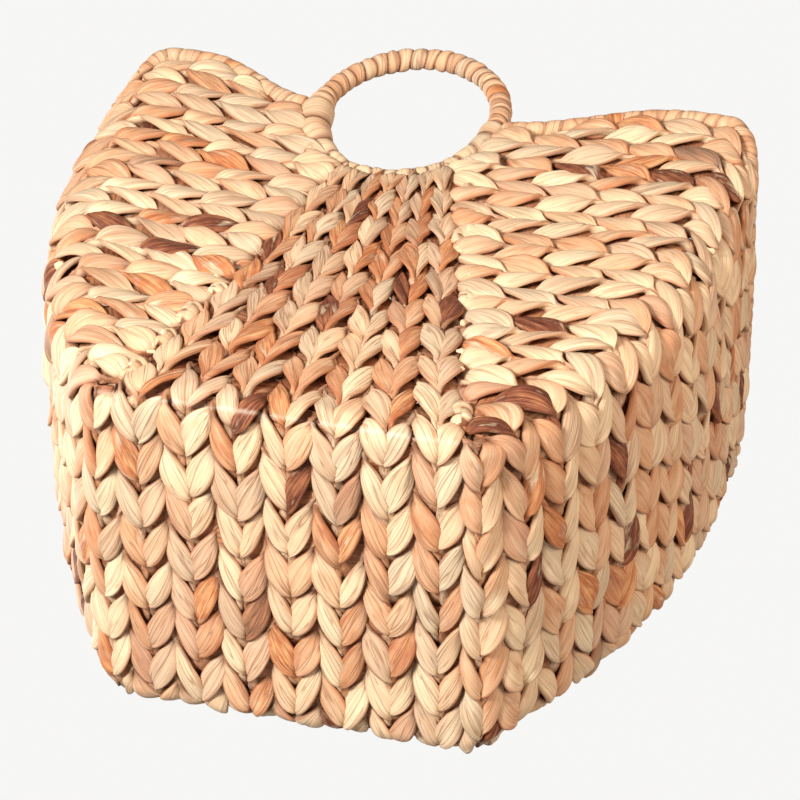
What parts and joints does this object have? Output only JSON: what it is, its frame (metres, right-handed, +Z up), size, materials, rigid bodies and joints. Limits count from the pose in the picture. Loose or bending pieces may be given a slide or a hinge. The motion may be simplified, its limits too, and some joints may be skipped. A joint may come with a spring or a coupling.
{
  "type": "wicker laundry basket",
  "caption": "Flared plaited-leaf laundry basket with raised corner ears and an oval arch handle in the middle of the front and the back rim.",
  "frame": {"origin": "middle of the underside, on the plane the basket stands on", "axes": "+Z up out of the mouth, -Y towards the front handle wall, +X towards the right side wall"},
  "size_m": [0.4514, 0.246, 0.4463],
  "materials": {
    "plaited_leaf": "matte dry leaf",
    "wrapped_leaf": "matte dry leaf",
    "frame_steel": "satin"
  },
  "bodies": {
    "root": {"centre_braid_1": "plaited_leaf", "centre_braid_2": "plaited_leaf", "centre_braid_3": "plaited_leaf", "centre_braid_4": "plaited_leaf", "centre_braid_5": "plaited_leaf", "centre_braid_6": "plaited_leaf", "centre_braid_7": "plaited_leaf", "left_edge_braid": "plaited_leaf", "left_course_01": "plaited_leaf", "left_course_02": "plaited_leaf", "left_course_03": "plaited_leaf", "left_course_04": "plaited_leaf", "left_course_05": "plaited_leaf", "left_course_06": "plaited_leaf", "left_course_07": "plaited_leaf", "left_course_08": "plaited_leaf", "left_course_09": "plaited_leaf", "left_course_10": "plaited_leaf", "left_course_11": "plaited_leaf", "left_course_12": "plaited_leaf", "right_edge_braid": "plaited_leaf", "right_course_01": "plaited_leaf", "right_course_02": "plaited_leaf", "right_course_03": "plaited_leaf", "right_course_04": "plaited_leaf", "right_course_05": "plaited_leaf", "right_course_06": "plaited_leaf", "right_course_07": "plaited_leaf", "right_course_08": "plaited_leaf", "right_course_09": "plaited_leaf", "right_course_10": "plaited_leaf", "right_course_11": "plaited_leaf", "right_course_12": "plaited_leaf", "left_rim_binding": "wrapped_leaf", "right_rim_binding": "wrapped_leaf", "front_handle_wrap": "wrapped_leaf", "back_handle_wrap": "wrapped_leaf", "left_rim_wire": "frame_steel", "right_rim_wire": "frame_steel", "bottom_frame_wire": "frame_steel", "front_handle_ring": "frame_steel", "front_left_corner_rib": "frame_steel", "front_left_fan_rib": "frame_steel", "front_right_corner_rib": "frame_steel", "front_right_fan_rib": "frame_steel", "back_handle_ring": "frame_steel", "back_left_corner_rib": "frame_steel", "back_left_fan_rib": "frame_steel", "back_right_corner_rib": "frame_steel", "back_right_fan_rib": "frame_steel"}
  },
  "joints": []
}
